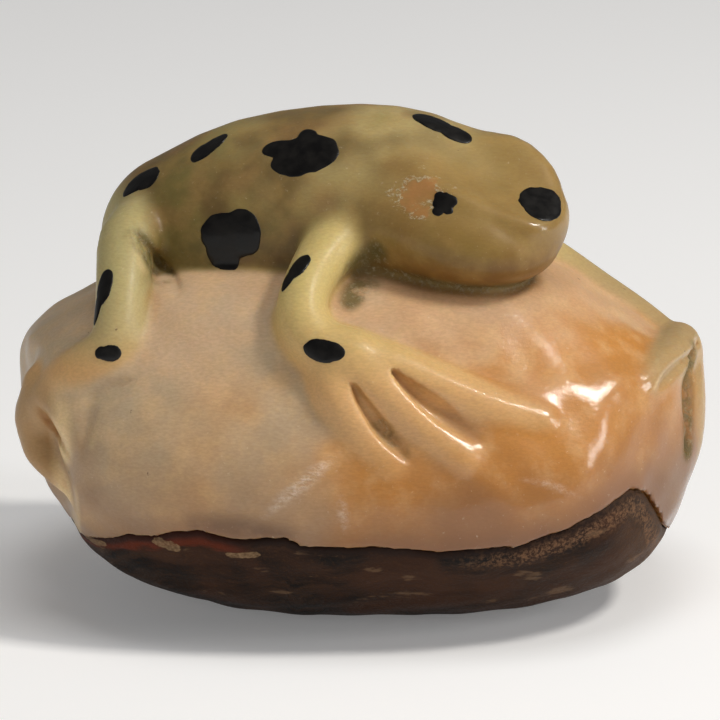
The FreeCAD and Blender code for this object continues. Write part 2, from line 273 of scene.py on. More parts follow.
LEFT_ARM = (
    (7, 4.2, 30, 2.8), (11.5, 4.4, 28.2, 2.2), (15.6, 3.9, 25.8, 2), (18.9, 3.6, 23.6, 1.9),
    (22.2, 2.6, 21.6, 1.8), (25.2, 1.5, 19.2, 1.9),
)
LEFT_FINGERS = (
    ((25.5, 0.6, 20.2, 1.8), (24.9, -3, 20.3, 1.6), (23.5, -6.2, 20, 1.3), (22.4, -8.2, 19.4, 0.9)),
    ((25.7, 0.4, 19.2, 1.8), (26, -1.4, 16.4, 1.6), (25.8, -2.6, 13.4, 1.5), (25.2, -3.2, 11.9, 1.25)),
    ((25.2, 2.6, 19.2, 1.7), (26, 4.4, 15.8, 1.5), (25.9, 5.6, 12.2, 1.2), (25.2, 6, 9.8, 0.9)),
)
LEFT_HAND_SLITS = (
    ((26.6, -2.6, 20, 0.4), (26.6, -4, 18.6, 1.05), (26.3, -4.9, 16.9, 1), (25.8, -5.5, 15.6, 0.4)),
    ((26.1, -5.3, 14.9, 0.25), (26, -5.8, 14.2, 0.5), (25.8, -5.9, 13.3, 0.2)),
    ((27.2, 1.4, 17.6, 0.3), (27.6, 1.8, 15.2, 0.8), (27.4, 2, 12.4, 0.5)),
)
LEFT_LEG = (
    (-12.4, 7.6, 29.6, 3.9), (-14.8, 10.8, 27.2, 3), (-15.8, 13.2, 24, 2.4), (-16.2, 15.2, 20.8, 2.2),
    (-17.6, 16.2, 18.2, 2.2), (-20, 15.2, 15.8, 2.1), (-21.2, 14.2, 14.2, 1.9),
)
LEFT_TOES = (
    ((-21, 14, 14.8, 1.8), (-22.6, 12.8, 12.4, 1.6), (-23, 11.8, 9.8, 1.2)),
    ((-20.2, 14.8, 14.8, 1.8), (-20.2, 15.6, 12.2, 1.6), (-19.4, 15.8, 9.8, 1.2)),
    ((-18.8, 16, 15.8, 1.8), (-17, 17.6, 13.4, 1.6), (-14.6, 18.2, 11.4, 1.2)),
)
LEFT_FOOT_SLITS = (
    ((-21.8, 15.4, 14, 0.3), (-21.9, 15.6, 12.2, 0.7), (-21.8, 15, 10.4, 0.5)),
    ((-19.2, 17.4, 14.2, 0.3), (-18.6, 17.9, 12.4, 0.7), (-17.4, 18, 10.8, 0.5)),
)

# Ovals are a centre and half lengths; the head turns to the near side and nods down, in degrees.
HEADING, NOD = -32, 9
JAW_HEADING, JAW_NOD = -26, 2
SKULL = ((7.3, -3.1, 31.5), (8.6, 7.0, 4.3))
JAW = ((8.2, -5.2, 30.0), (6.9, 4.8, 2.4))
SNOUT = ((13.0, -5.8, 32.0), (3.0, 3.2, 2.9))
NEAR_RIDGE = (
    (4, -4.5, 34.1, 2.2), (7, -5.9, 34.15, 2.3), (9.4, -6.8, 33.25, 2.2), (12.8, -7.3, 32.2, 2.05),
)
FAR_BROW = (
    (6.5, 1.2, 33.4, 2.6), (9.2, 0.4, 34.5, 2.6), (11.4, -0.8, 35.2, 2.6), (13.2, -2.6, 34.2, 2.5),
    (14, -4.4, 32.6, 2.3),
)
FACE_HOLLOW = (
    (3, -6.4, 50.6, 8.4), (6, -7.2, 47, 8.9), (8.6, -8, 44.7, 9), (12, -9.3, 43.2, 9.1),
    (16, -10.7, 41.7, 9.2),
)
SLITS = RIGHT_HAND_SLITS + LEFT_HAND_SLITS + LEFT_FOOT_SLITS

# How softly the forms run into one another, and how soft the edges of what is cut away are.
NECK_JOIN, JAW_JOIN, BROW_JOIN, RIDGE_JOIN, SNOUT_JOIN = 2.0, 2.0, 1.6, 0.7, 1.4
HAND_WEB, TOE_WEB, FOOT_JOIN, LIMB_JOIN, BODY_JOIN = 0.8, 0.6, 0.8, 1.15, 0.7
FACE_EDGE, SLIT_EDGE = 0.7, 0.35


def head_field(p):
    """Skull, jaw, brow, ridge and snout, run together."""
    d = oval(p, *SKULL, HEADING, NOD)
    d = smooth_min(d, oval(p, *JAW, JAW_HEADING, JAW_NOD), JAW_JOIN)
    d = smooth_min(d, limb(p, FAR_BROW), BROW_JOIN)
    d = smooth_min(d, limb(p, NEAR_RIDGE), RIDGE_JOIN)
    return smooth_min(d, oval(p, *SNOUT, HEADING, NOD), SNOUT_JOIN)


def digits(p, fingers, web):
    """Fingers or toes joined by a web of the given softness."""
    d = limb(p, fingers[0])
    for finger in fingers[1:]:
        d = smooth_min(d, limb(p, finger), web)
    return d


def body_field(p):
    d = smooth_min(limb(p, TORSO), head_field(p), NECK_JOIN)
    return smooth_max(d, -limb(p, FACE_HOLLOW), FACE_EDGE)


def limbs_field(p):
    return np.min([limb(p, joints) for joints in (RIGHT_ARM, LEFT_ARM, RIGHT_LEG, LEFT_LEG)], axis=0)


def feet_field(p):
    feet = [digits(p, toes, TOE_WEB) for toes in (RIGHT_TOES, LEFT_FINGERS, LEFT_TOES)]
    return np.min([digits(p, RIGHT_FINGERS, HAND_WEB), *feet], axis=0)


# Grooves pressed into the near side, seen square on: depth, half width, then x, z and how far it has faded.
PRESSED = (
    (0.50, 0.45, ((-25.5, 17.8, -0.5), (-24.7, 17, 0), (-23.6, 15.8, 0), (-22.8, 14.8, -0.4))),
    (
        0.40, 0.60,
        ((-17, 21.4, -0.9), (-19, 20.3, 0), (-20.8, 19.2, 0), (-21.3, 17.4, 0), (-21.7, 15, -0.7)),
    ),
    (0.45, 0.40, ((-18, 31.4, -0.5), (-16.9, 29.6, 0), (-15.9, 28, 0), (-14.4, 26.8, -0.2))),
    (0.45, 0.40, ((26.9, 20.6, -0.3), (25.3, 20.3, 0), (24, 19.7, 0), (23.2, 18.8, -0.6))),
)
# Below the near hind foot the boulder is pared away: from none to all along x, y and z, by this much.
CORNER_X, CORNER_Y, CORNER_Z, CORNER_DEPTH = (-22.1, -23.3), (-3, -8), (13.4, 11), 0.6


def face_on(p):
    """Points as seen square on from the near side: laid in the plane y = 0."""
    return p * (1, 0, 1)


def face_on_chain(path):
    """A path of x, z and fade as a chain of joints in that plane."""
    return [(x, 0, z, fade) for x, z, fade in path]


def pressed_depth(p):
    """How much deeper the near side is carved, at the limbs' grooves and at the corner below the foot."""
    deeper = np.zeros(len(p))
    for depth, width, path in PRESSED:
        away = np.maximum(limb(face_on(p), face_on_chain(path)), 0)
        deeper = np.maximum(deeper, depth * np.exp(-np.square(away / width)))
    x, y, z = p.T
    corner = ease(*CORNER_X, x) * ease(*CORNER_Y, y) * ease(*CORNER_Z, z)
    return np.maximum(deeper * (y < 0), CORNER_DEPTH * corner)


def carving_field(p):
    """Frog and boulder together, as carved, before the coat's share is taken off."""
    limbs = smooth_min(limbs_field(p), feet_field(p), FOOT_JOIN)
    d = smooth_min(limbs, stone_field(p), LIMB_JOIN)
    d = smooth_min(d, body_field(p), BODY_JOIN)
    for slit in SLITS:
        d = smooth_max(d, -limb(p, slit), SLIT_EDGE)
    return d + pressed_depth(p)


# ---- building the meshes ----

# The sampling grid: its step and corners in mm, its coarsest block in cells, and how far from a block's
# centre the surface can be, as a share of the block, for the block to be looked at more finely.
GRID_STEP = 0.33
LOW_CORNER, HIGH_CORNER = np.array((-29.5, -21.5, -1.2)), np.array((29.0, 21.5, 41.0))
BLOCK = 8
REACH = 0.87 * 1.5
# Points worked on at once, to keep memory small.
CHUNK = 60000


def in_chunks(field, p):
    return np.concatenate([field(p[i:i + CHUNK]) for i in range(0, len(p), CHUNK)])


def sampled(field):
    """The field on the whole grid, worked out finely only where a coarse look finds the surface near."""
    counts = np.ceil((HIGH_CORNER - LOW_CORNER) / GRID_STEP / BLOCK).astype(int) * BLOCK
    grid = np.zeros(counts)
    cells = np.argwhere(np.ones(counts // BLOCK))
    size = BLOCK
    while True:
        centres = LOW_CORNER + (cells * size + (size - 1) / 2) * GRID_STEP
        d = in_chunks(field, centres)
        for offset in np.ndindex(size, size, size):
            x, y, z = (cells * size + offset).T
            grid[x, y, z] = d
        if size == 1:
            return grid
        near = cells[np.abs(d) < size * GRID_STEP * REACH]
        half = size // 2 if size > 2 else 1
        step = size // half
        parts = [near * step + offset for offset in np.ndindex(step, step, step)]
        cells, size = np.concatenate(parts), half


def net_vertices(grid, inside):
    """One vertex in each cell that the surface crosses, and each cell's vertex number, -1 for none."""
    span = np.array(grid.shape) - 1
    total, count = np.zeros((*span, 3)), np.zeros(span)
    for axis in range(3):
        for corner in np.ndindex(2, 2, 2):
            if corner[axis]:
                continue
            end = np.array(corner)
            end[axis] = 1
            here = tuple(slice(c, c + n) for c, n in zip(corner, span))
            there = tuple(slice(c, c + n) for c, n in zip(end, span))
            crossed = np.nonzero(inside[here] != inside[there])
            a, b = grid[here][crossed], grid[there][crossed]
            place = np.tile(np.array(corner, float), (len(a), 1))
            place[:, axis] = a / (a - b)
            total[crossed] += place
            count[crossed] += 1
    used = count > 0
    cells = np.argwhere(used)
    number = np.full(span, -1)
    number[used] = np.arange(len(cells))
    return LOW_CORNER + (cells + total[used] / count[used][:, None]) * GRID_STEP, number


def net_quads(inside, number):
    """One quad for each grid edge that the surface crosses, facing outward."""
    quads = []
    for axis in range(3):
        across, up = (axis + 1) % 3, (axis + 2) % 3
        inner = [slice(1, n - 1) for n in inside.shape]
        inner[axis] = slice(0, -1)
        ahead = list(inner)
        ahead[axis] = slice(1, None)
        leaving = inside[tuple(inner)] & ~inside[tuple(ahead)]
        entering = ~inside[tuple(inner)] & inside[tuple(ahead)]
        for crossed, order in ((leaving, 1), (entering, -1)):
            base = np.argwhere(crossed)
            base[:, across] += 1
            base[:, up] += 1
            ring = []
            for back in ((1, 1), (0, 1), (0, 0), (1, 0)):
                cell = base.copy()
                cell[:, across] -= back[0]
                cell[:, up] -= back[1]
                ring.append(number[tuple(cell.T)])
            quads.append(np.stack(ring, 1)[:, ::order])
    return np.concatenate(quads)


def surface_nets(grid):
    """Vertices and quads of the grid's zero surface."""
    inside = grid < 0
    vertices, number = net_vertices(grid, inside)
    return vertices, net_quads(inside, number)


PROBE = 0.05
LEAST_SLOPE = 0.1


def gradient(field, p):
    slopes = np.zeros((len(p), 3))
    for corner in ((1, 1, 1), (1, -1, -1), (-1, 1, -1), (-1, -1, 1)):
        slopes += np.outer(field(p + np.array(corner) * PROBE), corner)
    return slopes / (4 * PROBE)


def settle(field, p, rounds=1):
    """Points moved onto the field's surface, with the outward direction at each."""
    for _ in range(rounds):
        slope = gradient(field, p)
        p = p - (field(p) / np.maximum((slope**2).sum(1), LEAST_SLOPE))[:, None] * slope
    return p, slope / np.linalg.norm(slope, axis=1)[:, None]


def settle_in_chunks(field, p, rounds=1):
    parts = [settle(field, p[i:i + CHUNK], rounds) for i in range(0, len(p), CHUNK)]
    return np.concatenate([a for a, _ in parts]), np.concatenate([b for _, b in parts])


def mesh_piece(name, vertices, faces, node, material, masks=None):
    """A piece of the visual model made from millimetre points; masks are values kept at its points."""
    mesh = bpy.data.meshes.new(name)
    mesh.from_pydata((vertices * MM).tolist(), [], [list(face) for face in faces])
    mesh.polygons.foreach_set("use_smooth", np.ones(len(mesh.polygons), bool))
    for mask, values in (masks or {}).items():
        mesh.attributes.new(mask, "FLOAT", "POINT").data.foreach_set("value", values)
    mesh.validate()
    mesh.materials.append(material)
    piece = bpy.data.objects.new(name, mesh)
    bpy.context.collection.objects.link(piece)
    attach(piece, "root")
    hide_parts(node)
    return piece


def sheet_faces(rings, around):
    """Faces of a closed sheet: a centre and rings about it, the same again behind, and a wall at the rim."""
    count = 1 + rings * around
    ring = np.arange(1, count).reshape(rings, around)
    after = np.roll(ring, -1, axis=1)
    skin = np.stack([ring[:-1], ring[1:], after[1:], after[:-1]], -1).reshape(-1, 4)
    fan = np.stack([0 * ring[0], ring[0], after[0]], 1)
    wall = np.stack([ring[-1], ring[-1] + count, after[-1] + count, after[-1]], 1)
    return [*skin, *fan, *(skin[:, ::-1] + count), *(fan[:, ::-1] + count), *wall]


# ---- where the coat ends ----

# The seam along the object's length: x and height.
SEAM = np.array([
    (-32, 9.6), (-27, 9.3), (-24, 7.3), (-22, 7.1), (-18.2, 9), (-12.6, 10.3), (-9.3, 9.8), (-5.8, 10.1),
    (-4.6, 9.5), (0.7, 9.4), (6.1, 8.9), (12.4, 9.2), (15.5, 10.1), (18.7, 11.2), (21.2, 12.3), (22.4, 11.5),
    (23.5, 9.2), (24.4, 6.8), (25.6, 4.4), (27.5, 3), (32, 2.5),
])
SEAM_SHARPNESS = 0.25
SEAM_REACH = 1.5
SEAM_STEP = 0.3
# The seam's waves: depth, then size, seed and octaves of their noise. The broad ones are on the far side.
SMALL_WAVES, BROAD_WAVES = (0.26, (1.8, 31, 3)), (0.5, (9.0, 37, 2))
COAT_THICKNESS = 0.7


def seam_height(p):
    """The seam's height at each point; the waves are worked out only close to it."""
    height = np.interp(p[:, 0], *SEAM.T)
    near = np.abs(p[:, 2] - height) < SEAM_REACH
    plan, behind = p[near] * (1, 1, 0), p[near, 1] > 0
    for (depth, noise), share in ((SMALL_WAVES, 1), (BROAD_WAVES, behind)):
        height[near] += depth * cloud(plan, *noise) * share
    return height


def below_seam(p):
    """How far below the seam a point is, measured straight across the seam."""
    rise = np.interp(p[:, 0] + SEAM_STEP, *SEAM.T) - np.interp(p[:, 0] - SEAM_STEP, *SEAM.T)
    steepness = rise / (2 * SEAM_STEP)
    return (seam_height(p) - p[:, 2]) / np.sqrt(1 + steepness**2)


def kernel_field(p):
    """The carving with the coat's share taken off below the seam."""
    under = np.clip(below_seam(p) / SEAM_SHARPNESS + 0.5, 0, 1)
    return carving_field(p) + COAT_THICKNESS * under * under * (3 - 2 * under)


# ---- marks on the kernel ----

# Long pale scuffs on the near side: x, z and how far each point has faded.
SCUFFS = (
    ((-7.6, 11.8, -0.5), (-5.6, 13.6, 0), (-3.4, 15.4, 0), (-1.6, 16.8, -0.6)),
    ((-1.5, 14, -0.6), (-1.3, 12.2, -0.1), (-1.2, 10.8, -0.5)),
    ((17.4, 12.6, -0.6), (14.8, 14, -0.3), (12.2, 14.6, -0.6)),
)
# Brown smears near the seam: how strong, then x, z and how far each point has faded.
SMEARS = (
    (1, ((-12.6, 11, -0.2), (-9.5, 11, 0.1), (-5.6, 10.4, -0.6))),
    (0.5, ((-20.8, 12, 0.2), (-19, 11.2, 0.5), (-16.6, 10.6, 0))),
)
# Corners where green dirt has gathered: x, y, z and radius.
DIRT = (
    ((1.2, -7.6, 30, 0.5), (0.2, -8.4, 28.4, 1.1), (-0.8, -9.8, 26.4, 0.4)),
    ((-17.7, -5.2, 31, 0.4), (-16, -4.8, 28.2, 0.8), (-15, -5.4, 27.3, -0.2)),
    ((17.2, 2.2, 25.4, -0.4), (19.4, 2.1, 24.2, -0.1), (21.6, 1.4, 22.8, -0.4)),
    ((26.8, -2.4, 20.4, 0.5), (26.4, -4.2, 18.4, 0.9), (26.2, -5.2, 15.8, 0.8), (25.9, -5.8, 13.4, 0.5)),
    ((7.2, -16.8, 19.2, 0.1), (4.2, -16, 21.2, 0)),
    ((1.6, -16.8, 18.8, 0.1), (3.4, -17.6, 16.6, 0)),
)
EYE_SCUFF, EYE_SCUFF_SHAPE = (4.7, -8.0, 34.8), (1, 0.6, 1.3)

# How far from a mark's line it starts and is full.
SCUFF_EDGE, SMEAR_EDGE, DIRT_EDGE, FLAKE_EDGE = (0.8, 0.0), (1.7, 0.0), (0.9, -0.1), (0.7, 0.1)
# Likewise for the frog against the stone, the body against the rest, and the stains round body and head.
FROG_EDGE, BODY_EDGE, STAIN_EDGE, HEAD_EDGE = (0.8, -0.4), (1.4, -0.6), (1.3, 0.1), (2.5, -1)
# The haunch takes the limb's colour below and left of these; the thigh's top, between these, the body's.
HAUNCH_Z, HAUNCH_X = (34.0, 31.2), (-15.6, -18.2)
THIGH_Z, THIGH_LEFT, THIGH_RIGHT = (26, 29), (-18.4, -16.4), (-6, -9)
# Hollows are felt for at these distances out from the surface; ridges count down to the floor.
HOLLOW_REACHES, HOLLOW_FLOOR = (0.4, 1.1), -0.6


def near_strokes(p, paths, edge):
    """How strongly each point lies in one of the strokes drawn on the near side."""
    strokes = [ease(*edge, limb(face_on(p), face_on_chain(path))) for path in paths]
    return np.max(strokes, axis=0) * (p[:, 1] < 0)


def hollowness(p, outward):
    deep = np.zeros(len(p))
    for reach in HOLLOW_REACHES:
        deep += np.clip(1 - carving_field(p + outward * reach) / reach, HOLLOW_FLOOR, 1) / len(HOLLOW_REACHES)
    return deep


def kernel_masks(p, outward):
    """Values at the kernel's points that its material is painted from."""
    x, z = p[:, 0], p[:, 2]
    stone, torso_or_head = stone_field(p), body_field(p)
    limbs = np.minimum(limbs_field(p), feet_field(p))
    frog = ease(*FROG_EDGE, np.minimum(torso_or_head, limbs) - stone)
    body = ease(*BODY_EDGE, torso_or_head - np.minimum(limbs, stone))
    thigh_top = ease(*THIGH_Z, z) * ease(*THIGH_LEFT, x) * ease(*THIGH_RIGHT, x)
    smears = [strength * near_strokes(p, [path], SMEAR_EDGE) for strength, path in SMEARS]
    return {
        "frog": frog,
        "body": np.maximum(body, frog * thigh_top),
        "haunch": ease(*HAUNCH_Z, z) * ease(*HAUNCH_X, x),
        "head": ease(*HEAD_EDGE, head_field(p)),
        "stain": ease(*STAIN_EDGE, torso_or_head),
        "hollow": hollowness(p, outward),
        "above_seam": -below_seam(p),
        "smear": np.max(smears, axis=0),
        "scuff": near_strokes(p, SCUFFS, SCUFF_EDGE),
        "dirt": np.max([ease(*DIRT_EDGE, limb(p, path)) for path in DIRT], axis=0),
        "eye_scuff": np.linalg.norm((p - EYE_SCUFF) * EYE_SCUFF_SHAPE, axis=1),
    }


def build_kernel(material):
    vertices, quads = surface_nets(sampled(kernel_field))
    vertices, outward = settle_in_chunks(kernel_field, vertices)
    starts = range(0, len(vertices), CHUNK)
    parts = [kernel_masks(vertices[i:i + CHUNK], outward[i:i + CHUNK]) for i in starts]
    masks = {name: np.concatenate([part[name] for part in parts]) for name in parts[0]}
    mesh_piece("carved_kernel_body", vertices, quads, "carved_kernel", material, masks)


# ---- the seed coat, a thin skin around the underside ----

COAT_CENTRE = np.array((0, 0, 12.5))
COAT_AROUND, COAT_ROWS, COAT_LOOK_ROWS = ((560, 76, 90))
COAT_LOOK_FROM, COAT_LOOK_TO = 0.05, math.radians(118)
COAT_START, COAT_ROUNDS = 34.0, 9
# The rim's lip and how far in it reaches; the rest of the unevenness starts just below it.
COAT_LIP, LIP_REACH, UNEVEN_FROM = 0.12, 0.5, (0.1, 1.0)
GRAIN_STRETCH = (0.35, 0.35, 1.6)
WORN_DEPTH, WORN_NOISE = 0.035, (1.6, 51, 3)
PIT_DEPTH, PIT_NOISE, PIT_SPAN = 0.06, (3.4, 57, 3), (0.35, 0.6)
DENT_LIMITS = (-0.06, 0.2)
COAT_CLEARANCE = 0.05
DEEP_BELOW = 12.0

# Pale flakes near the coat's upper edge: x, z and how far each point has faded.
FLAKES = (
    ((-16, 8.9, -0.1), (-14.4, 8.7, 0)),
    ((-10.3, 8.3, -0.15), (-8, 8.5, -0.05)),
    ((-21.8, 7.1, -0.1), (-20.3, 7.4, -0.1)),
)


def on_carving(turns, dips):
    """Points of the carving seen from the coat's centre: turn about the vertical, dip from straight down."""
    turns, dips = np.ravel(turns), np.ravel(dips)
    rays = np.stack([np.sin(dips) * np.cos(turns), np.sin(dips) * np.sin(turns), -np.cos(dips)], -1)
    reach = np.full(len(rays), COAT_START)
    for _ in range(COAT_ROUNDS):
        reach -= in_chunks(carving_field, COAT_CENTRE + rays * reach[:, None])
    return COAT_CENTRE + rays * reach[:, None]


def coat_top(turns):
    """The dip at which the carving crosses the seam, for each turn."""
    dips = np.linspace(COAT_LOOK_FROM, COAT_LOOK_TO, COAT_LOOK_ROWS)
    grid_turn, grid_dip = np.meshgrid(turns, dips, indexing="ij")
    p = on_carving(grid_turn, grid_dip)
    above = (p[:, 2] - seam_height(p)).reshape(grid_turn.shape)
    first = np.argmax(above > 0, axis=1)
    rows = np.arange(COAT_AROUND)
    low, high = above[rows, first - 1], above[rows, first]
    return dips[first - 1] + (dips[first] - dips[first - 1]) * low / (low - high)


def coat_skin():
    """The coat's outer and inner points, ring by ring, and how far below the seam they are."""
    turns = np.arange(COAT_AROUND) * 2 * math.pi / COAT_AROUND
    shares = np.linspace(0, 1, COAT_ROWS + 1)[1:]
    grid_share, grid_turn = np.meshgrid(shares, turns, indexing="ij")
    outer = on_carving(grid_turn, grid_share * coat_top(turns))
    outer, outward = settle_in_chunks(carving_field, outer)
    below = np.maximum(below_seam(outer), 0)
    grain = np.stack([outer[:, 0], outer[:, 1], below], 1) * GRAIN_STRETCH
    dent = WORN_DEPTH * cloud(grain, *WORN_NOISE) + PIT_DEPTH * ease(*PIT_SPAN, cloud(outer, *PIT_NOISE))
    dent = np.clip(dent, *DENT_LIMITS) * ease(*UNEVEN_FROM, below)
    lip = COAT_LIP * (1 - ease(0, LIP_REACH, below))
    outer = outer - outward * (lip + dent)[:, None]
    return outer, outer - outward * (COAT_THICKNESS - COAT_CLEARANCE), below


def build_coat(material):
    outer, inner, below = coat_skin()
    nadir = on_carving(0.0, 0.0)
    points = np.concatenate([nadir, outer, nadir + (0, 0, COAT_THICKNESS), inner])
    flake = near_strokes(outer, FLAKES, FLAKE_EDGE)
    masks = {
        "below_seam": np.concatenate([[DEEP_BELOW], below] * 2),
        "flake": np.concatenate([[0], flake] * 2),
    }
    faces = sheet_faces(COAT_ROWS, COAT_AROUND)
    mesh_piece("seed_coat_skin", points, faces, "seed_coat", material, masks)


# ---- painted spots ----

FILM_THICKNESS, FILM_SUNK = 0.10, 0.08
FILM_RINGS, FILM_AROUND = 18, 120
# A film's thickness falls off at its rim by this power, and varies by this share.
FILM_CROWN, FILM_UNEVENNESS, UNEVENNESS_SIZE = 6, 0.3, 0.9
# The rim's waves as a share of its reach, its nicks in mm, how many of each fit round, and its blur.
RIM_WAVES, RIM_WAVE_COUNT, RIM_NICKS, RIM_NICK_COUNT = 0.07, 3, 0.05, 12
RIM_BLUR = (0.1, 0.2, 0.4, 0.2, 0.1)
FIRST_SEED, SEED_STEP, NICK_SEED = 100, 7, 5
CENTRE_ROUNDS, FILM_ROUNDS = 4, 5

# Each spot: the direction its long side runs, how far it sits from its CAD place, then its lobes as
# (along, across, long half, wide half).
SPOTS = {
    "snout_spot": (
        (1, 0.1, -0.2), (-0.1, -0.1, 0),
        (
            (0, 0, 1.7, 1.5), (0.4, 0.6, 1.3, 1.3), (-0.4, 0.6, 1.2, 1.2), (0, -0.9, 1.3, 1.2),
            (0.5, -0.4, 1.3, 1.3),
        ),
    ),
    "right_eye_spot": (
        (1, -0.3, -0.4), (0.1, -0.5, -0.8),
        (
            (0, 0.1, 0.9, 0.85), (0.4, 0.5, 0.6, 0.45), (-0.5, 0.45, 0.5, 0.4), (-0.1, -0.7, 0.45, 0.5),
            (0.6, -0.3, 0.4, 0.4),
        ),
    ),
    "left_eye_spot": ((1, -0.3, -0.4), (0, 0, 0), ((0, 0, 0.95, 0.85), (0.3, 0.4, 0.6, 0.5))),
    "nape_spot": ((4.1, -1.7, -1.2), (0.2, 1, 0.3), ((-0.9, 0, 1.8, 1.2), (1.1, -0.1, 1.5, 1))),
    "large_back_spot": (
        (1, 0, -0.05), (0.2, -0.1, 0),
        ((0.6, -0.3, 2.5, 1.9), (-1.7, 0.5, 1.5, 0.85), (0.5, 1.6, 0.75, 0.8), (-0.3, -1, 2, 1.3)),
    ),
    "small_back_spot": ((1, 0.5, 0.6), (0.4, -0.1, -0.2), ((0, 0, 1.9, 0.8), (-0.6, 0.1, 1.2, 0.85))),
    "rump_spot": ((1, 0.1, 0.9), (-0.6, -0.2, 0.9), ((0, 0, 1.8, 1), (0.6, -0.4, 1.2, 1.1))),
    "right_flank_spot": (
        (1, 0, 0), (0.4, 0, 0.1),
        (
            (0, 0.2, 2.55, 1.9), (0.8, 1.3, 1.3, 1.1), (-0.8, -1.1, 1.3, 1.4), (1.5, 0.3, 1, 1.7),
            (-0.3, -1.8, 0.9, 1),
        ),
    ),
    "right_thigh_spot": ((-0.05, 0.3, 1), (0.9, -1.6, 0.2), ((0.5, 0, 1.6, 0.85), (-1.1, 0.3, 1.5, 0.5))),
    "right_ankle_spot": ((1, 0, 0.1), (0.3, 0, 0), ((0.1, 0, 0.95, 0.65), (-0.6, 0.1, 0.6, 0.5))),
    "right_arm_spot": ((0.35, 0.3, 1), (0.4, -0.7, 1.8), ((0.3, 0, 1.4, 0.8), (-1.1, 0.1, 1.1, 0.6))),
    "right_elbow_spot": ((1, -0.1, 0), (0.8, 0, -0.1), ((0, 0, 1.65, 0.9), (-0.5, 0.1, 1.3, 0.9))),
    "left_back_spot": ((1, 0, 0), (0, 0, 0), ((0, 0, 2.3, 1.5), (-1, 0.6, 1.4, 1), (0.8, -0.9, 1, 0.9))),
    "left_flank_spot": (
        (1, 0, 0.2), (0, 0, 0), ((0, 0, 2, 1.6), (0.9, -0.6, 1.2, 1.2), (-0.9, 0.7, 1.1, 1)),
    ),
    "left_thigh_spot": ((0.2, 0.4, 1), (0, 0, 0), ((0, 0, 1.6, 0.8), (-0.5, 0.2, 1.1, 0.8))),
}


def outline(turns, lobes):
    """How far each direction's ray stays inside the lobes."""
    far = np.zeros(len(turns))
    for along, across, long, wide in lobes:
        dx, dy = np.cos(turns) / long, np.sin(turns) / wide
        ox, oy = along / long, across / wide
        length2 = dx * dx + dy * dy
        towards = (dx * ox + dy * oy) / length2
        gap = (1 - ox * ox - oy * oy) / length2 + towards**2
        far = np.maximum(far, np.where(gap > 0, towards + np.sqrt(np.maximum(gap, 0)), 0))
    return far


def ragged_rim(turns, lobes, seed):
    """The outline of the lobes, with the waves and nicks of a brushed edge."""
    circle = np.stack([np.cos(turns), np.sin(turns), 0 * turns], 1)
    waves = 1 + RIM_WAVES * cloud(circle * RIM_WAVE_COUNT + seed, 1.0, seed, 3)
    nicks = RIM_NICKS * cloud(circle * RIM_NICK_COUNT, 1.0, seed + NICK_SEED, 2)
    rim = outline(turns, lobes) * waves + nicks
    return np.convolve(np.concatenate([rim[-2:], rim, rim[:2]]), RIM_BLUR, "valid")


def spot_axes(name, direction, shift):
    """The spot's centre on the carving, and the directions along and across it there."""
    low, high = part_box(name)
    centre = np.array((low + high) / 2)[None] / MM + shift
    centre, outward = settle(carving_field, centre, CENTRE_ROUNDS)
    centre, outward = centre[0], outward[0]
    along = np.array(direction, float)
    along -= outward * (along @ outward)
    along /= np.linalg.norm(along)
    return centre, along, np.cross(outward, along)


def build_spot(name, material, seed):
    direction, shift, lobes = SPOTS[name]
    centre, along, across = spot_axes(name, direction, shift)
    turns = np.arange(FILM_AROUND) * 2 * math.pi / FILM_AROUND
    shares = np.sqrt(np.linspace(0, 1, FILM_RINGS + 1)[1:])
    reach = shares[:, None] * ragged_rim(turns, lobes, seed)
    spread = reach[..., None] * (np.cos(turns)[:, None] * along + np.sin(turns)[:, None] * across)
    points = np.concatenate([centre[None], (centre + spread).reshape(-1, 3)])
    points, normals = settle(carving_field, points, FILM_ROUNDS)
    share = np.concatenate([[0.0], np.repeat(shares, FILM_AROUND)])
    thickness = FILM_THICKNESS * np.sqrt(np.clip(1 - share**FILM_CROWN, 0, 1))
    thickness *= 1 + FILM_UNEVENNESS * cloud(points, UNEVENNESS_SIZE, seed, 2)
    film = np.concatenate([points + normals * thickness[:, None], points - normals * FILM_SUNK])
    mesh_piece(name + "_paint", film, sheet_faces(FILM_RINGS, FILM_AROUND), name, material)


# ---- materials ----


def colour(red, green, blue):
    """A screen colour, 0 to 255, as the linear colour that nodes take."""
    steps = [value / 255 for value in (red, green, blue)]
    return (*[s / 12.92 if s <= 0.04045 else ((s + 0.055) / 1.055) ** 2.4 for s in steps], 1.0)


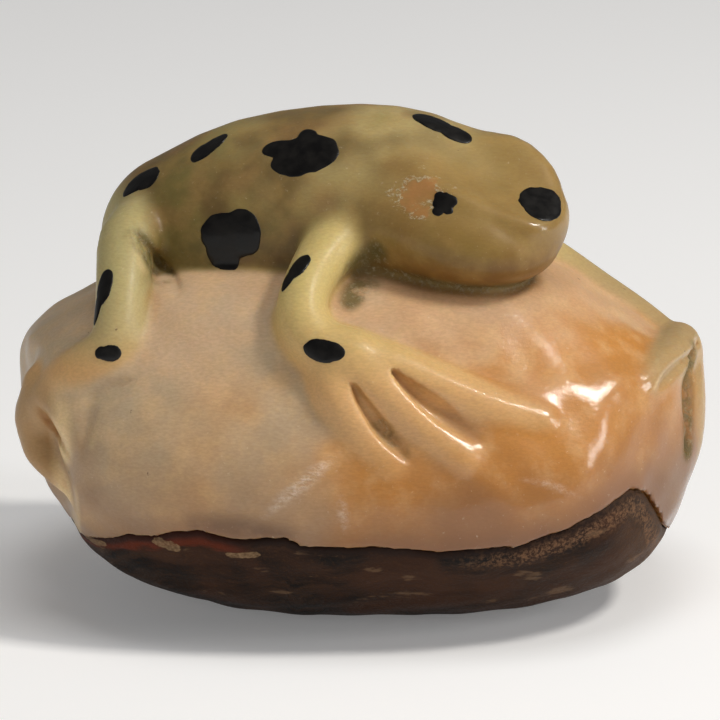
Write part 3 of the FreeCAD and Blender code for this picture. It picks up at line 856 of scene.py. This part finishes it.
class Shader:
    """A material being put together from nodes. Positions reach the textures in millimetres."""

    def __init__(self, name):
        self.material = bpy.data.materials.new(name)
        self.material.use_nodes = True
        self.tree = self.material.node_tree
        self.surface = self.tree.nodes["Principled BSDF"]
        place = self.node("ShaderNodeTexCoord").outputs["Object"]
        self.place = self.stretched(place, (1 / MM,) * 3)
        apart = self.node("ShaderNodeSeparateXYZ", {0: self.place}).outputs
        self.measures = {axis: apart[axis] for axis in "XYZ"}

    def node(self, kind, inputs=None, **settings):
        node = self.tree.nodes.new(kind)
        for key, value in settings.items():
            setattr(node, key, value)
        for key, value in (inputs or {}).items():
            self.feed(node, key, value)
        return node

    def feed(self, node, key, value):
        if isinstance(value, bpy.types.NodeSocket):
            self.tree.links.new(value, node.inputs[key])
        else:
            node.inputs[key].default_value = value

    def set(self, **inputs):
        for key, value in inputs.items():
            self.feed(self.surface, key.replace("_", " "), value)

    def mask(self, name):
        return self.node("ShaderNodeAttribute", attribute_name=name).outputs["Fac"]

    def stretched(self, place, stretch):
        return self.node("ShaderNodeVectorMath", {0: place, 1: stretch}, operation="MULTIPLY").outputs[0]

    def noise(self, size, detail=3.0, roughness=0.55, stretch=(1, 1, 1)):
        inputs = {
            "Vector": self.stretched(self.place, stretch), "Scale": 1 / size, "Detail": detail,
            "Roughness": roughness,
        }
        return self.node("ShaderNodeTexNoise", inputs).outputs["Fac"]

    def span(self, value, low, high, out_low=0.0, out_high=1.0):
        """A value eased from one number to another as the given one goes from low to high."""
        inputs = {"Value": value, "From Min": low, "From Max": high, "To Min": out_low, "To Max": out_high}
        return self.node("ShaderNodeMapRange", inputs, interpolation_type="SMOOTHSTEP").outputs[0]

    def maths(self, operation, first, *others):
        for other in others:
            first = self.node("ShaderNodeMath", {0: first, 1: other}, operation=operation).outputs[0]
        return first

    def total(self, *values):
        return self.maths("ADD", *values)

    def product(self, *values):
        return self.maths("MULTIPLY", *values)

    def greatest(self, *values):
        return self.maths("MAXIMUM", *values)

    def blend(self, factor, a, b):
        node = self.node("ShaderNodeMix", data_type="RGBA", blend_type="MIX", clamp_factor=True)
        for key, value in ((0, factor), (6, a), (7, b)):
            self.feed(node, key, value)
        return node.outputs[2]

    def strength(self, factor):
        """A factor of a layer: a measure, a measure and a number, or a measure and its span."""
        measure, *numbers = factor
        value = self.measures[measure]
        if len(numbers) > 1:
            return self.span(value, *numbers)
        return self.product(value, *numbers)

    def share(self, factors):
        return self.product(*map(self.strength, factors))

    def graded(self, factor, low, high):
        """A colour that goes from one screen colour to another as a factor grows."""
        return self.blend(self.strength(factor), colour(*low), colour(*high))

    def paint(self, base, layers):
        """A colour with layers over it, each a screen colour and the factors of its strength."""
        for tint, *factors in layers:
            base = self.blend(self.share(factors), base, colour(*tint))
        return base

    def bump(self, height, strength, distance, over=None):
        inputs = {"Height": height, "Strength": strength, "Distance": distance * MM}
        if over:
            inputs["Normal"] = over
        return self.node("ShaderNodeBump", inputs).outputs[0]


# Noises of each material: size in mm, then detail, roughness and stretch where they aren't the usual ones.
KERNEL_NOISES = {
    "drift": (9.0, 2.0), "blotch": (5.0, 2.0), "mottle": (2.2, 4.0, 0.6), "fray": (1.6, 4.0, 0.7),
    "specks": (0.8, 2.0), "fine": (0.4, 4.0, 0.7), "grain": (0.22, 2.0, 0.6, (0.5, 1, 1.4)),
    "hairs": (0.35, 4.0, 0.75, (0.5, 1, 1)), "tool_marks": (0.5, 2.0, 0.5, (0.12, 1, 1.6)),
}
COAT_NOISES = {
    "broad": (7.0, 2.0), "warp": (6.0, 3.0), "patch": (2.2, 4.0, 0.6, (0.5, 0.5, 1.6)),
    "fine": (0.3, 4.0, 0.7),
}
PAINT_NOISES = {"broad": (0.9, 3.0), "fine": (0.25, 4.0, 0.6)}
KERNEL_MASKS = (
    "frog", "body", "haunch", "head", "stain", "hollow", "above_seam", "smear", "scuff", "dirt", "eye_scuff",
)

# A factor is a measure alone, a measure and a number to multiply it by, or a measure, the two values
# between which it counts, and how strong it is at each (0 and 1 if left out). X, Y and Z are in mm.
# A grade is a factor and the screen colours it goes between. A layer is a screen colour and its factors.
STONE_GRADE = ("side", -16, 12), (196, 173, 141), (198, 136, 68)
STONE_LAYERS = (
    ((218, 186, 152), ("height", 21, 25, 0, 0.6)),  # paler along the top
    ((232, 194, 142), ("mottle", 0.42, 0.7, 0, 0.3)),  # clouds
    ((142, 95, 57), ("height", 21, 9.5, 0, 0.9), ("X", -3, 8, 0.55, 1)),  # painted shade: darker and browner on the lower stone towards the coat
    ((120, 98, 78), ("X", 20.5, 25), ("Z", 16, 11, 0, 0.6)),  # grey below the far hand
    ((100, 62, 38), ("above_seam", 2.4, 0, 0, 0.45)),  # haze along the seam
)
# Painted light and shade: the body goes from dark on its lower flanks to light on its top.
BODY_SHADE_GRADE = ("Z", 28, 38), (94, 74, 38), (182, 162, 110)
BODY_LAYERS = (
    ((98, 78, 44), ("side", 3, -9, 0, 0.8)),  # painted shade: darker towards the rump, which faces away from the key light
    ((124, 122, 58), ("drift", 0.5, 0.68, 0, 0.35)),  # green drifts
    ((150, 112, 72), ("blotch", 0.5, 0.66, 0, 0.35)),  # warm blotches
    ((148, 114, 54), ("head", 0.75)),  # golden head
    ((106, 68, 24), ("head",), ("Z", 31.5, 28.5, 0, 0.85)),  # painted shade: dark brown under the jaw
    ((180, 148, 88), ("mottle", 0.35, 0.75, 0, 0.35)),  # clouds
)
LIMB_GRADE = ("Z", 20, 29), (218, 172, 116), (206, 184, 120)
SHIN_LAYERS = (((172, 164, 120), ("X", -10, -17, 0, 0.6), ("Z", 21, 25)),)
# Painted light and shade on the near foot: pale on its lit inner part, darker on its outer side.
FOOT_LIGHT_AND_SHADE_GRADE = ("X", -23.4, -24.8), (248, 220, 168), (170, 136, 92)
FOOT_FACTORS = ("X", -17, -21, 0, 0.8), ("Z", 21, 18)
FAR_ARM_LAYERS = (((170, 146, 102), ("X", 12, 20, 0, 0.8)),)
# The frog's colour fades into the stone's down the limbs, except at the near foot and the far hand.
LIMB_SHOWS = ("Z", 13, 22, 0.35, 1), ("X", -19, -22, 0, 0.85), ("X", 23, 25, 0, 0.85)
SMEAR_LAYERS = (((92, 68, 58), ("smear",), ("mottle", 0.3, 0.6, 0.2, 0.6)),)
# Painted shade in the hollows: orange between bare fingers, olive where the frog's stain has gathered.
SHADOW_GRADE = ("stain",), (158, 104, 46), (98, 82, 42)
SHADOW_FACTOR = ("hollow", 0.2, 0.7, 0, 0.6)
MARK_LAYERS = (
    ((88, 82, 44), ("dirt",), ("mottle", 0.36, 0.56, 0.15, 0.85)),
    ((176, 166, 134), ("residue", 0.45)),
    ((240, 212, 160), ("hollow", -0.12, -0.45, 0, 0.35)),  # painted highlight: lighter along the ridges
    ((120, 84, 50), ("grain", 0.3, 0.7, 0, 0.16)),
    ((246, 230, 200), ("fine", 0.62, 0.8, 0, 0.3)),
    ((236, 220, 204), ("scuffed", 0.55)),
    ((198, 126, 76), ("from_eye", 2.2, 0.9), ("mottle", 0.3, 0.6, 0.15, 0.4)),  # raw patch by the eye
    ((206, 196, 166), ("flaking",)),
    ((96, 66, 40), ("specks", 0.76, 0.8, 0, 0.7)),
)
KERNEL_MEASURES = {
    "scuffed": (("scuff",), ("hairs", 0.35, 0.7, 0.1, 1)),
    "flaking": (("from_eye", 1.2, 1.8), ("from_eye", 2.3, 1.8), ("hairs", 0.46, 0.6, 0, 0.7)),
    "polish": (("X", -8, 14, 0.1, 0.65), ("hollow", 0.35, 0.15)),
    "brow": (("head",), ("Z", 29.5, 32.5)),
}
# The coat is worn to its fibres, rusty where it has chipped at the left, crusted near its edge at the right.
COAT_GRADE = ("veins", 0.38, 0.62), (8, 5, 4), (46, 29, 18)
COAT_LAYERS = (
    ((66, 38, 21), ("broad", 0.38, 0.62, 0, 0.6)),
    ((88, 62, 40), ("fine", 0.48, 0.72, 0, 0.3)),
    ((112, 86, 62), ("patch", 0.61, 0.68, 0, 0.5)),
    ((92, 36, 16), ("ragged_below", 1.5, 0.9, 0, 0.85), ("X", -8, -11), ("X", -24, -22)),
    ((134, 98, 70), ("below_seam", 2.4, 1.4), ("X", 6, 13), ("fine", 0.42, 0.62, 0, 0.6)),
    ((30, 17, 12), ("below_seam", 0.9, 0.3, 0, 0.8)),
)
FLAKE_GRADE = ("fine", 0.3, 0.7), (96, 72, 48), (150, 122, 90)
FLAKE_FACTOR = ("ragged_flake", 0.5, 0.66, 0, 0.75)
THIN_LAYERS = (((132, 100, 74), ("X", 18.5, 23.5, 0, 0.22), ("fine", 0.3, 0.6, 0.5, 1)),)
FIBRE_LENGTH, FIBRE_WARP, FIBRE_SCALE = 0.10, 4.0, 0.9
PAINT_GRADE = ("broad", 0.3, 0.7), (9, 8, 8), (22, 20, 18)
PAINT_LAYERS = (((60, 50, 36), ("fine", 0.66, 0.8, 0, 0.4)),)


def kernel_shader():
    """A shader with every measure that the kernel's colours and polish are worked out from."""
    s = Shader("polished nut kernel")
    m = s.measures
    m.update({name: s.noise(*noise) for name, noise in KERNEL_NOISES.items()})
    m.update({name: s.mask(name) for name in KERNEL_MASKS})
    m["side"] = s.total(m["X"], s.span(m["drift"], 0.3, 0.7, -9.0, 9.0))
    m["height"] = s.total(m["Z"], s.span(m["drift"], 0.3, 0.7, -2.5, 2.5))
    m["from_eye"] = s.total(m["eye_scuff"], s.span(m["fray"], 0.3, 0.7, -0.9, 0.9))
    for name, factors in KERNEL_MEASURES.items():
        m[name] = s.share(factors)
    crumbs = s.product(s.greatest(m["stain"], m["dirt"]), s.span(m["fine"], 0.5, 0.66))
    m["residue"] = s.product(s.greatest(s.span(m["hollow"], 0.3, 0.6), m["dirt"]), crumbs)
    return s


def kernel_colour(s):
    stone = s.paint(s.graded(*STONE_GRADE), STONE_LAYERS)
    limb = s.paint(s.graded(*LIMB_GRADE), SHIN_LAYERS)
    limb = s.blend(s.share(FOOT_FACTORS), limb, s.graded(*FOOT_LIGHT_AND_SHADE_GRADE))
    limb = s.paint(limb, FAR_ARM_LAYERS)
    body = s.paint(s.graded(*BODY_SHADE_GRADE), BODY_LAYERS)
    body = s.blend(s.measures["haunch"], body, limb)
    shown = s.greatest(*map(s.strength, LIMB_SHOWS))
    base = s.blend(s.product(s.measures["frog"], shown), stone, limb)
    base = s.blend(s.measures["body"], base, body)
    base = s.paint(base, SMEAR_LAYERS)
    base = s.blend(s.strength(SHADOW_FACTOR), base, s.graded(*SHADOW_GRADE))
    return s.paint(base, MARK_LAYERS)


def kernel_material():
    s = kernel_shader()
    m = s.measures
    below_or_brow = s.greatest(s.span(m["Z"], 22.5, 20.5, 0.2, 1.0), m["brow"])
    unmarked = s.span(s.greatest(m["scuffed"], m["dirt"]), 0.6, 0.1)
    rough = s.greatest(m["residue"], m["flaking"], m["scuffed"])
    s.set(Base_Color=kernel_colour(s), Roughness=s.span(m["mottle"], 0.3, 0.7, 0.36, 0.5))
    s.set(Specular_IOR_Level=0.26, IOR=1.52)
    s.set(Subsurface_Weight=0.3, Subsurface_Radius=(1.0, 0.5, 0.2), Subsurface_Scale=1.6 * MM)
    s.set(Coat_Weight=s.product(m["polish"], below_or_brow, unmarked))
    s.set(Coat_Roughness=s.span(m["fine"], 0.3, 0.7, 0.05, 0.13))
    polished = s.bump(m["tool_marks"], 0.14, 0.06, over=s.bump(m["fine"], 0.22, 0.08))
    s.set(Coat_Normal=polished, Normal=s.bump(rough, 0.5, 0.12, over=polished))
    return s.material


def coat_material():
    s = Shader("brown seed coat")
    m = s.measures
    m.update({name: s.noise(*noise) for name, noise in COAT_NOISES.items()})
    m.update(below_seam=s.mask("below_seam"), flake=s.mask("flake"))
    m["ragged_below"] = s.total(m["below_seam"], s.span(m["patch"], 0.3, 0.7, -0.5, 0.4))
    m["ragged_flake"] = s.total(m["flake"], s.span(m["patch"], 0.3, 0.7, -0.35, 0.35))
    lines = s.total(m["below_seam"], s.product(m["warp"], FIBRE_WARP))
    along = [s.product(m[axis], FIBRE_LENGTH) for axis in "XY"]
    fibre = s.node("ShaderNodeCombineXYZ", {0: along[0], 1: along[1], 2: lines}).outputs[0]
    veins = {"Vector": fibre, "Scale": FIBRE_SCALE, "Detail": 5.0, "Roughness": 0.65}
    m["veins"] = s.node("ShaderNodeTexNoise", veins).outputs["Fac"]
    base = s.paint(s.graded(*COAT_GRADE), COAT_LAYERS)
    base = s.blend(s.strength(FLAKE_FACTOR), base, s.graded(*FLAKE_GRADE))
    s.set(Base_Color=s.paint(base, THIN_LAYERS), Roughness=s.span(m["fine"], 0.3, 0.7, 0.5, 0.7))
    s.set(Specular_IOR_Level=0.12)
    s.set(Normal=s.bump(m["fine"], 0.4, 0.12, over=s.bump(m["veins"], 0.4, 0.25)))
    return s.material


def paint_material():
    s = Shader("black paint")
    m = s.measures
    m.update({name: s.noise(*noise) for name, noise in PAINT_NOISES.items()})
    s.set(Base_Color=s.paint(s.graded(*PAINT_GRADE), PAINT_LAYERS))
    s.set(Roughness=s.span(m["broad"], 0.3, 0.7, 0.34, 0.5), Specular_IOR_Level=0.25)
    s.set(Coat_Weight=0.15, Coat_Roughness=0.1, Normal=s.bump(m["fine"], 0.25, 0.05))
    return s.material


build_kernel(kernel_material())
build_coat(coat_material())
black = paint_material()
for number, spot in enumerate(SPOTS):
    build_spot(spot, black, FIRST_SEED + SEED_STEP * number)


# ---- floor, lights and camera ----

FLOOR_SIZE, FLOOR_DROP, FLOOR_GLOW = 4.0, 0.00005, 0.14
FLOOR_COLOUR, FLOOR_ROUGHNESS = (0.92, 0.92, 0.92, 1), 0.9
TARGET = Vector((0.0, 0.0, 0.0191))
CAMERA_DISTANCE, CAMERA_ELEVATION = 0.5, math.radians(16)
# The picture is 720 pixels wide and shows 12.47 of them per millimetre.
VIEW_WIDTH = 720 / 12470
SENSOR = 36.0
WHITE, WORLD_STRENGTH = (1, 1, 1, 1), 0.12
# Lamps: where each stands, its sides, power and tint, and whether it shows in the object's polish.
LAMPS = {
    "key": ((0.30, -0.10, 0.40), (0.08, 0.08), 1.25, (1.0, 0.96, 0.9), True),
    "overhead": ((0.04, -0.06, 0.60), (0.30, 0.30), 0.9, (1, 1, 1), False),
    "side": ((0.46, -0.14, 0.17), (0.06, 0.20), 0.6, (1, 1, 1), True),
    "front": ((-0.30, -0.55, 0.20), (0.4, 0.3), 0.55, (1, 1, 1), False),
}


def place(name, data, stand=None):
    """An object of the scene; one that is given a stand is put there and aimed at the target."""
    placed = bpy.data.objects.new(name, data)
    bpy.context.collection.objects.link(placed)
    if stand:
        placed.location = stand
        placed.rotation_mode = "QUATERNION"
        placed.rotation_quaternion = (TARGET - placed.location).to_track_quat("-Z", "Y")
    return placed


def build_floor():
    mesh = bpy.data.meshes.new("floor")
    half = FLOOR_SIZE / 2
    corners = [(x * half, y * half, -FLOOR_DROP) for x, y in ((-1, -1), (1, -1), (1, 1), (-1, 1))]
    mesh.from_pydata(corners, [], [(0, 1, 2, 3)])
    s = Shader("pale floor")
    s.set(Base_Color=FLOOR_COLOUR, Roughness=FLOOR_ROUGHNESS)
    s.set(Emission_Color=WHITE, Emission_Strength=FLOOR_GLOW)
    mesh.materials.append(s.material)
    place("floor", mesh)


def build_lights():
    for name, (stand, sides, power, tint, mirrored) in LAMPS.items():
        light = bpy.data.lights.new(name, "AREA")
        light.shape = "RECTANGLE"
        light.size, light.size_y = sides
        light.energy = power
        light.color = tint
        place(name, light, stand).visible_glossy = mirrored
    world = bpy.data.worlds.new("studio")
    world.use_nodes = True
    background = world.node_tree.nodes["Background"].inputs
    background["Color"].default_value = WHITE
    background["Strength"].default_value = WORLD_STRENGTH
    bpy.context.scene.world = world


def build_camera():
    data = bpy.data.cameras.new("camera")
    data.sensor_width = SENSOR
    data.lens = SENSOR * CAMERA_DISTANCE / VIEW_WIDTH
    data.clip_start = 0.01
    back = Vector((0, -math.cos(CAMERA_ELEVATION), math.sin(CAMERA_ELEVATION)))
    bpy.context.scene.camera = place("camera", data, TARGET + back * CAMERA_DISTANCE)


build_floor()
build_lights()
build_camera()
bpy.context.scene.view_settings.view_transform = "Standard"
